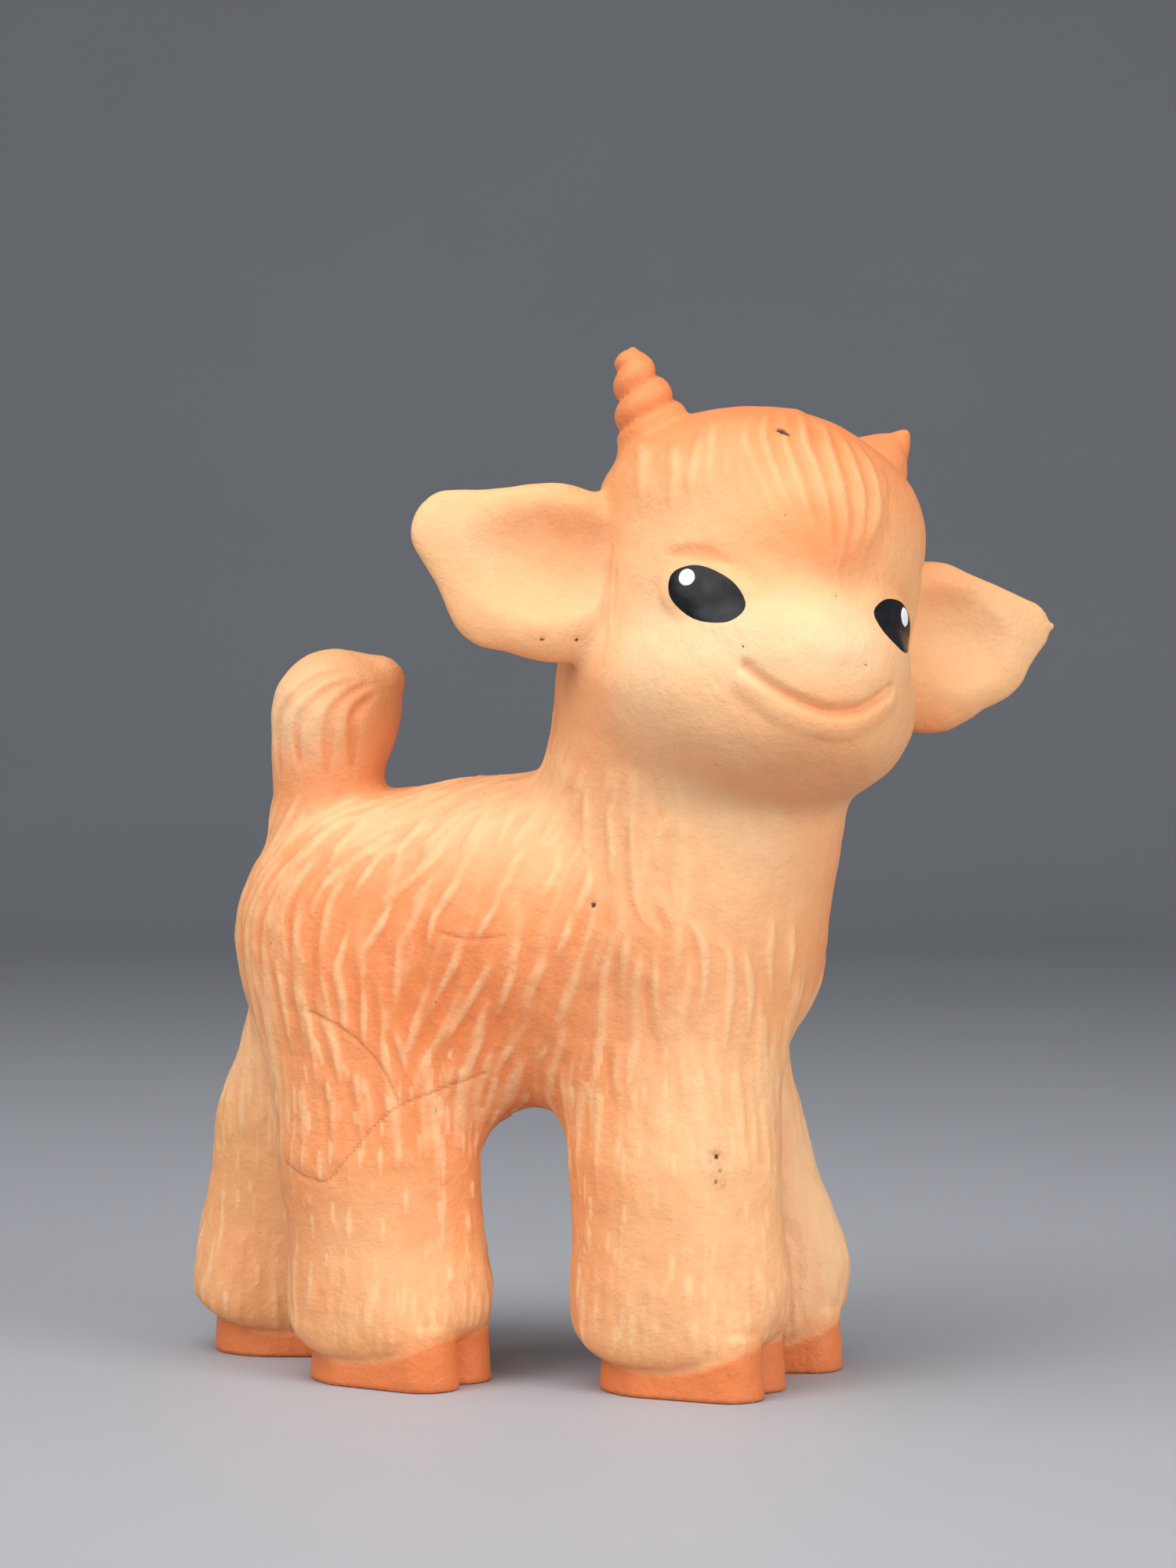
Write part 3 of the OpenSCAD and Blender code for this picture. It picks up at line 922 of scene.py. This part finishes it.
def lock(relief, track, width, lift, lit):
    """One lock: a rounded body, a groove along its side and sometimes a rubbed crest."""
    relief.stroke(track, width, lift, "swell", taper=0.3, tail=0.7)
    across = unit(np.cross(track[-1] - track[0], [0.0, track[len(track) // 2, 1], 0.001]))
    relief.stroke(track + across * width * 0.9, 0.7 * width, 0.6 * lift, "down", taper=0.3, tail=0.7)
    if lit:
        relief.stroke(track, 0.62 * width, lit, "up", taper=0.3, tail=0.6)


def add_locks(solid, relief):
    for points in LOCKS:
        lock(relief, on_flank(solid, points), 1.35, 0.42, 0.16)
    for points in TAIL_GROOVES:
        for side in (-1, 1):
            relief.stroke(on_flank(solid, points, side), 1.15, 0.62, "down", taper=0.4, tail=0.3)


def plant(solid, p, zone, spacing, low, high):
    """Hairs about spacing apart in a zone of the points, from low to high millimetres long."""
    places = np.flatnonzero(zone)
    chosen = places[scatter(p[places], spacing)]
    return trace(solid, p[chosen], RNG.uniform(low, high, len(chosen)))


def add_hairs(solid, relief, p, n, q):
    """Random hair: long locks on the body and neck, short dashes on the legs."""
    fur = (1 - smooth_parts(p, n, q)) * (1 - bib(p)) * ramp(p[:, 2], 8, 11)
    taken = np.zeros(len(p), bool)
    for points in LOCKS:
        line = on_flank(solid, points)
        index = relief.near(line, 2)
        taken[index[relief.measure(line, index)[0] < 1.9]] = True
    body, ankle = p[:, 2] > 43, p[:, 2] < 19
    for spacing, low, high, width, lift, lit, zone in (
            (2.8, 8, 17, 1.4, 0.32, 0.10, body & ~taken), (3.6, 2.5, 5.5, 0.8, 0.03, 0.24, ~body),
            (3.6, 6, 10, 1.2, 0.16, 0.12, ankle)):
        for track in plant(solid, p, (fur > 0.6) & zone, spacing, low, high):
            size = RNG.uniform(0.75, 1.15)
            lock(relief, track, width * size, lift * size, lit * RNG.choice([0.3, 1]))
    low_down = p[:, 2] < RNG.uniform(26, 50, len(p))
    for track in plant(solid, p, (fur > 0.6) & low_down, DASH_SPACING, 2.5, 5.5):
        relief.stroke(track, RNG.uniform(0.45, 0.62), RNG.uniform(0.2, 0.5), "dash", taper=0.2, tail=0.4)


def add_streaks(solid, relief, p):
    """Long soft streaks in the colour of the fur, which leave its shape alone."""
    for track in plant(solid, p, (p[:, 2] > 10) & (p[:, 2] < 92), STREAK_SPACING, 9, 20):
        relief.stroke(track, RNG.uniform(0.8, 1.7), RNG.uniform(0.3, 1.0), "tint", taper=0.4, tail=0.6)


def add_face(solid, relief):
    relief.even(on_face(solid, MOUTH), 1.15, 0.85)
    relief.even(on_face(solid, LOWER_LIP), 2.3, 0.5, "swell")
    relief.even(on_face(solid, UPPER_LIP), 4.0, 0.35, "swell")
    for line in NOSE:
        relief.stroke(on_face(solid, line), 1.3, 0.06, "down", taper=0.5)
    for line in CHEEK:
        relief.stroke(solid.settle(from_head(curve(line)))[0], 1.0, 0.40, "down", taper=0.5)
    for side, crease in ((-1, 0.32), (1, 0.12)):
        relief.stroke(by_eye(solid, side, BROW), 1.7, crease, "down", taper=0.5, tail=0.5)
        relief.stroke(by_eye(solid, side, LID), 1.0, 0.4 * crease, "down", taper=0.5)


def add_fringe(solid, relief, q):
    """Cap of hair combed down over the forehead."""
    front = ramp(q[:, 0], -4, 3)
    edge = (q[:, 2] - np.interp(q[:, 1], *zip(*FRINGE))) * 0.8
    height = 0.2 + 1.3 * np.exp(-((q[:, 1] + 0.5) / 8.5) ** 2)
    cap = ramp(edge, -1.8, 4.2) * front * height * (1 - 0.6 * ramp(q[:, 2], 12, 28)) * (np.abs(q[:, 1]) < 26)
    for strand in STRANDS:
        line = on_face(solid, strand)
        relief.stroke(line, 1.8, 0.30, "swell", taper=0.35, tail=0.5)
        relief.stroke(line + head_way((0, 0.5, 0)), 1.0, 0.05, "up", taper=0.4, tail=0.4)
        relief.stroke(line + head_way((0, -1.5, 0)), 1.2, 0.20, "down", taper=0.3, tail=0.5)
    return cap


def horn_turns(q):
    """Coils of the two horns, the right one bold and the left one faint."""
    out = np.zeros(len(q))
    for side, pitch, depth in ((-1, 4.1, 1.0), (1, 5.2, 0.3)):
        base, tip = np.array(HORNS[side][0]), np.array(HORNS[side][1])
        axis = unit(tip - base)
        rel = q - base
        s = rel @ axis
        across = rel - s[:, None] * axis
        u = unit(np.cross(axis, [1.0, 0, 0]))
        w = np.cross(axis, u)
        angle = np.arctan2(across @ w, across @ u)
        phase = s / pitch + side * angle / (2 * math.pi)
        coil = np.abs(np.sin(math.pi * phase)) ** 0.7 - 0.62
        within = (np.linalg.norm(across, axis=1) < 8.5) * ramp(s, 3.5, 6.5)
        tall = np.linalg.norm(tip - base)
        out += depth * coil * within * (1 - ramp(s, tall - 1, tall + 2.5))
    return out


# ---- Sprayed colour, painted shade and marks ----
# Darker orange sprayed over the peach, as (centre, radii, amount), on the body and in the head's frame; some
# head spots are painted shade
SPRAY_BODY = [
    ((-14, 0, 54), (22, 60, 16), 1.0), ((-12, 0, 43), (14, 60, 8), 0.6),
    ((-16, -22, 60), (24, 16, 15), 0.45), ((-34, -12, 66), (14, 30, 14), 0.55),
    ((-30, -10, 66), (15, 40, 13), 0.5), ((-46, 0, 66), (10, 40, 18), 0.5),
    ((6, -14, 88), (8, 14, 13), 0.4), ((-18, 0, 84), (22, 26, 6), 0.5),
    ((14, -20, 60), (14, 12, 14), 0.3), ((34, 3, 62), (9, 16, 26), 0.6), ((-40, 0, 86), (10, 14, 7), 0.6),
    ((-31, 0, 97), (5, 9, 8), 0.6), ((-42, -14, 20), (9, 12, 14), 0.5), ((4, -14, 28), (5, 14, 22), 0.5),
    ((-30, -20, 26), (20, 14, 26), 0.25), ((18, -20, 16), (14, 12, 12), 0.22),
    ((-14, -14, 32), (7, 14, 18), 0.6), ((-54, 12, 14), (9, 12, 12), 0.7),
    ((-31, -16, 38), (14, 12, 13), 0.55), ((18, -16, 30), (14, 12, 24), 0.14),
    ((30, 14, 40), (7, 9, 22), 0.2),
]
SPRAY_AND_SHADE_HEAD = [
    # forelock: sprayed orange, with painted shade under its lower tip
    ((18, -1, 11), (14, 9, 6.5), 0.75), ((22, 1, 6.5), (9, 5, 3.5), 0.45),
    # sprayed orange with painted shade on both ears' undersides, then painted shade in the right ear's hollow
    ((-1, -33, -14), (8, 13, 5), 0.5), ((-1, 33, -14), (8, 15, 5), 0.7), ((2, -31, 8), (5, 9, 5), 0.45),
    # painted shade in the left ear's hollow, then painted shade in the creases over the right and left eyes
    ((2, 31, 8), (5, 9, 5), 0.35), ((19, -16, 5.5), (8, 7, 2.5), 0.25), ((22, 14, 5), (6, 5, 4), 0.25),
    # painted shade along the mouth, then painted shade under the chin
    ((26, 1, -13.4), (8, 11, 2), 0.3), ((18, 0, -24), (14, 16, 7), 0.30),
]
# Palest rubber: the bib, the legs' fronts and the tail, then the face and the ears; some spots are painted
# light on shaded parts
PALE_AND_LIT_BODY = [
    ((26, -10, 82), (10, 16, 16), 0.6), ((18, -22, 46), (9, 10, 10), 0.3),
    ((21, -22, 30), (7, 10, 22), 0.40), ((14, -20, 84), (12, 10, 14), 0.35),
    # painted light: the (33, 16, 28) and (30, 12, 24) spots lighten the shaded left front leg
    ((33, 16, 28), (10, 10, 22), 0.8), ((-26, -22, 22), (9, 10, 9), 0.15),
    ((-36, -16, 62), (7, 12, 12), 0.1), ((30, 12, 24), (8, 12, 16), 0.5),
    ((-44, -8, 95), (9, 12, 9), 0.8), ((-22, -14, 80), (24, 10, 6), 0.6),
]
PALE_AND_LIT_HEAD = [
    ((30, 1, -4), (12, 15, 7), 0.8), ((20, -10, -10), (12, 14, 10), 0.5), ((2, -44, 4), (8, 12, 9), 0.45),
    # painted light: the (10, -24, -8) spot lightens the shaded right cheek
    ((2, 44, 3), (8, 12, 9), 0.5), ((10, -24, -8), (14, 10, 14), 0.7),
]


def spot(p, centre, radii, amount):
    return amount * np.exp(-(((p - np.array(centre, float)) / np.array(radii, float)) ** 2).sum(1))


def coats(p, q, body, head):
    """Spots on the body and head laid over each other like coats of paint, 0 to 1."""
    parts = [spot(p, *one) for one in body] + [spot(q, *one) for one in head]
    return 1 - np.prod([1 - np.clip(v, 0, 1) for v in parts], axis=0)


HOOF_REACH, HOOF_REACH_TOP = 19, 16  # the fur's lip is measured no further than this from a hoof


def hoof_depth(p):
    """How far below the fur's lip each point is, negative above it."""
    out = np.full(len(p), -9.0)
    for _, place in LEGS.values():
        x, y, z = sole_frame(p, place)
        near = (np.hypot(x, y) < HOOF_REACH) & (z < HOOF_REACH_TOP)
        out = np.where(near, np.maximum(out, lip_height(x) - z), out)
    return out


def spray_and_shade_map(p, q):
    """Amount of darker orange over the peach rubber, 0 to 1: sprayed orange, and painted shade from some head
    spots.
    """
    skull = np.abs(q[:, 1]) < 30
    crown = ramp(q[:, 2], 4, 31) * skull * ramp(p[:, 2], 100, 110)
    nape = ramp(-q[:, 0], 4, 14) * skull * ramp(p[:, 2], 84, 100)
    below_neck = ramp(-p[:, 2], -90, -80)
    depth = hoof_depth(p)
    hooves = 0.60 * ramp(depth, -0.5, 0.4) + 0.40 * ramp(depth, -9, 0)
    horns = []
    for base, tip, base_r, _ in HORNS.values():
        axis = unit(np.array(tip) - base)
        rise = (q - base) @ axis
        off = np.linalg.norm(q - base - rise[:, None] * axis, axis=1)
        horns.append(0.80 * ramp(rise, 1.5, 6) * (1 - ramp(off, base_r + 0.5, base_r + 4)))
    spots = coats(p, q, SPRAY_BODY, SPRAY_AND_SHADE_HEAD)
    return np.max([spots, 0.8 * crown, 0.55 * nape, 0.14 * below_neck, hooves] + horns, axis=0)


# Grimy patches on the right front leg and the flank, and a faint darker patch on the neck under the jaw, as
# (centre, radii, amount)
STAINS = [((22.5, -24, 33.5), (1.2, 8, 2.2), 0.6), ((23, -24, 30.5), (0.8, 8, 1.2), 0.7),
          ((24.5, -24, 17.5), (2.6, 8, 1.8), 0.25), ((27, -16, 46), (3.4, 9, 8), 0.14),
          ((-39, -14, 52), (3.4, 9, 4.5), 0.2), ((23, -14, 78), (8, 12, 5), 0.06)]


# Dark specks: (x, z, radius) on the right flank, then (y, z, radius) on the ear and face
FLANK_SPECKS = [
    (5, 69, 0.5), (-18.5, 39.5, 0.35), (22.5, 34, 0.42), (23, 32, 0.36), (22.5, 30.5, 0.34),
    (25.5, 69.5, 0.3), (-4, 77, 0.25), (-31, 45, 0.25), (-16, 61, 0.25), (-9, 55, 0.2), (20, 57, 0.25),
]
FACE_SPECKS = [
    (-31, -8, 0.4), (-26, -7.5, 0.3), (-11, -7, 0.3), (6, -7, 0.25), (-10, -23, 0.25), (1.5, 2, 0.2),
]


def find_specks(solid):
    """Middles and radii of the specks."""
    flank, face = np.array(FLANK_SPECKS).T, np.array(FACE_SPECKS).T
    spots = [cast_flank(solid, *flank[:2]), cast_face(solid, *face[:2])]
    return solid.settle(np.concatenate(spots))[0], np.append(flank[2], face[2])


def eye_clear(q):
    """0 under the painted eyes, 1 well away from them."""
    out = np.ones(len(q))
    for side in (-1, 1):
        at, axes = eye_frame(side)
        e = (q - at) @ axes
        oval = np.hypot(e[:, 1] / (EYE_L / 2), e[:, 2] / (EYE_H / 2))
        out = np.where(e[:, 0] > -8, np.minimum(out, ramp(oval, 1.0, 1.25)), out)
    return out


# ---- The skin ----
SEAM_Y, SEAM_W, SEAM_H = 0.5, 0.35, 0.12  # the mould's parting line
CRACK_W, CRACK_DEPTH, PIT_DEPTH = 0.40, 0.16, 0.35
VENT = [(-5, 24.5), (-4.5, 24)]  # a short slit on the forehead, as (y, z)

solid = outside()
GRID_LO, GRID_HI = np.array([-70.0, -60, -1]), np.array([75.0, 52, 153])
verts, quads = surface_quads(fill_grid(solid, GRID_LO, GRID_HI, VOXEL), GRID_LO, VOXEL)
verts, normals = solid.settle(verts)
in_face = to_head(verts)

relief = Relief(verts)
add_hairs(solid, relief, verts, normals, in_face)
add_streaks(solid, relief, verts)
hairy = ramp(-hoof_depth(verts), 0.2, 1.4) * (1 - smooth_parts(verts, normals, in_face))
for layer in relief.layers.values():
    layer *= hairy
add_locks(solid, relief)
cap = add_fringe(solid, relief, in_face)
crack = np.full(len(verts), 9.0)
for line in CRACKS:
    crack = np.minimum(crack, relief.gap_to(on_flank(solid, line), 1.5))
vent = on_face(solid, VENT)
relief.even(vent, 1.0, 0.8)
# the vent slit joins the dark specks, painted black as the shade inside it
speck = relief.gap_to(vent, 4) / 0.7
for at, radius in zip(*find_specks(solid)):
    speck = np.minimum(speck, np.linalg.norm(verts - at, axis=1) / radius)

for name in ("up", "down", "swell", "tint"):
    relief.layers[name] = soften(relief.layers[name], quads, 2)
add_face(solid, relief)
up, down, swell, tint, dash = (relief.layers[name] for name in Relief.NAMES)
coils = horn_turns(in_face)
seam = SEAM_H * np.exp(-((verts[:, 1] - SEAM_Y) / SEAM_W) ** 2) * ramp(verts[:, 2], 38, 42)
seam *= np.abs(normals[:, 1]) < 0.4
uneven = 0.14 * wander(verts, 17, 11) + 0.05 * wander(verts, 4.5, 12)
clear = eye_clear(in_face)
muzzle = ramp(in_face[:, 0], 16, 20) * ramp(-in_face[:, 2], 2, 6)
height = swell + up - down + 0.15 * dash + cap + coils + seam + uneven
height -= CRACK_DEPTH * np.exp(-(crack / CRACK_W) ** 2) + PIT_DEPTH * ramp(-speck, -1.2, -0.6)
height *= clear * ramp(verts[:, 2], 0.3, 1.5)
near_seat = np.hypot(verts[:, 0] - SQUEAK_X, verts[:, 1]) < SEAT_R + 1
height[near_seat & (np.abs(verts[:, 2] - 46) < 8)] = 0
verts = verts + normals * height[:, None]

skin = mesh_object("rubber_skin", verts, quads.tolist(), rubber_material())
fields = {  # one number per vertex for the rubber's look
    "spray_and_shade": spray_and_shade_map(verts, in_face),
    "pale_and_lit": coats(verts, in_face, PALE_AND_LIT_BODY, PALE_AND_LIT_HEAD),
    "streak": tint,
    "stain": np.clip(sum(spot(verts, *one) for one in STAINS), 0, 1),
    "ridge": (1.2 * up + 0.85 * swell - 1.2 * down + dash + 0.35 * coils) * clear * (1 - 0.75 * muzzle),
    "crack": crack,
    "speck": speck,
}
for name, values in fields.items():
    layer = skin.data.attributes.new(name, "FLOAT", "POINT")
    layer.data.foreach_set("value", np.ascontiguousarray(values, np.float32))
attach(skin, "toy")
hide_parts("skin_right_half", "skin_left_half")


# ---- Painted eyes ----
def paint_film(name, side, centre, size, egg, lift, material):
    """Film of paint: an egg-shaped patch laid on the skin, its rim tucked under the surface."""
    rings, spokes = 14, 72
    r = np.linspace(0, 1, rings + 1)[1:, None]
    a = np.linspace(0, 2 * math.pi, spokes, endpoint=False)[None]
    wobble = 1 + 0.012 * np.sin(3 * a + side) + 0.008 * np.sin(7 * a)
    out = centre[0] + size[0] / 2 * r * np.cos(a) * wobble
    up = centre[1] + size[1] / 2 * r * np.sin(a) * (1 + egg * np.cos(a)) * wobble
    out, up = np.append(out.ravel(), centre[0]), np.append(up.ravel(), centre[1])
    p, n = solid.settle(cast_eye(solid, side, out, up), 1)
    edge = np.append(np.repeat(r.ravel(), spokes), 0)
    p = p + n * (lift * (1 - edge ** 10 * 1.6))[:, None]
    ring = np.arange(spokes)
    ahead = np.roll(ring, -1)
    band = np.stack([ring, ring + spokes, ahead + spokes, ahead], 1)
    quad = np.concatenate([band + k * spokes for k in range(rings - 1)])
    caps = np.stack([np.full(spokes, len(p) - 1), ring, ahead], 1)
    if side < 0:
        quad, caps = quad[:, ::-1], caps[:, ::-1]
    return mesh_object(name, p, quad.tolist() + caps.tolist(), material)


black = paint_material("black_paint", (0.004, 0.0045, 0.006), (0.012, 0.012, 0.014), shine=0.22)
white = paint_material("white_paint", (0.86, 0.88, 0.86), (0.92, 0.92, 0.9))
for side, word, dot, egg, dot_d in ((-1, "right", (3.6, 1.1), 0.03, 2.6), (1, "left", (2.8, 1.6), 0.14, 3.0)):
    eye = paint_film("painted_eye_" + word, side, (0, 0), (EYE_L, EYE_H), egg, 0.10, black)
    glint = paint_film("eye_dot_" + word, side, dot, (1.04 * dot_d, dot_d), 0.0, 0.2, white)
    for piece, node, slot_name in ((eye, "eye_paint_", "black_paint"), (glint, "eye_glint_", "white_paint")):
        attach(piece, "toy")
        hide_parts(node + word)

# ---- Squeaker ----
SQUEAKER = [
    (plastic_material(), ("squeaker_barrel", "squeaker_cap")),
    (brass_material(), ("squeaker_reed_plate", "squeaker_reed")),
]
for look, nodes in SQUEAKER:
    for node in nodes:
        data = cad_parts[node].data
        data.materials.clear()
        data.materials.append(look)

# ---- Floor, light and camera ----
CAMERA_TURN, CAMERA_Z, CAMERA_AWAY = math.radians(12), 86, 510
FLOOR_FRONT, FLOOR_BACK, BEND_R, WALL_TOP, HALF_WIDTH = -1800, 1300, 900, 2600, 3000


def sweep():
    """Floor that curves up into a wall behind the toy, square to the camera."""
    turns = np.linspace(0, math.pi / 2, 25)
    bend = np.stack([FLOOR_BACK + BEND_R * np.sin(turns), BEND_R - BEND_R * np.cos(turns)], 1)
    profile = np.vstack([[FLOOR_FRONT, 0], bend, [FLOOR_BACK + BEND_R, WALL_TOP]])
    right = np.array([math.cos(CAMERA_TURN), math.sin(CAMERA_TURN)])
    back = np.array([-right[1], right[0]])
    rows = [np.append(back * b + right * side, up) for b, up in profile for side in (-HALF_WIDTH, HALF_WIDTH)]
    k = 2 * np.arange(len(profile) - 1)
    return np.array(rows), np.stack([k, k + 1, k + 3, k + 2], 1).tolist()


floor = mesh_object("floor", *sweep(), floor_material())


def lamp(name, at, size, watts):
    """Square softbox aimed at the middle of the toy."""
    data = bpy.data.lights.new(name, "AREA")
    data.shape = "SQUARE"
    data.size = size
    data.energy = watts
    obj = show(name, data)
    obj.location = at
    obj.rotation_euler = (Vector((0, 0, LAMPS_AIM)) - Vector(at)).to_track_quat("-Z", "Y").to_euler()


LAMPS_AIM = 0.07
lamp("overhead", (-0.12, -0.28, 0.75), 0.7, 4.7)
lamp("front_fill", (-0.45, -0.70, 0.50), 0.5, 3.4)
lamp("side_fill", (0.64, -0.40, 0.36), 0.45, 4.0)

world = bpy.data.worlds.new("studio")
bpy.context.scene.world = world
world.use_nodes = True
sky = world.node_tree.nodes["Background"].inputs
sky["Color"].default_value = (0.86, 0.9, 0.95, 1)
sky["Strength"].default_value = 0.27

camera = show("photo_camera", bpy.data.cameras.new("photo_camera"))
camera.data.lens = 80
camera.data.sensor_width = camera.data.sensor_height = 36
camera.data.sensor_fit = "AUTO"
away = np.array([math.sin(CAMERA_TURN), -math.cos(CAMERA_TURN), 0])
camera.location = to_row(np.array([0, 0, CAMERA_Z]) + CAMERA_AWAY * away)
camera.rotation_euler = (math.pi / 2, 0, CAMERA_TURN)
bpy.context.scene.camera = camera
bpy.context.scene.view_settings.view_transform = "Standard"
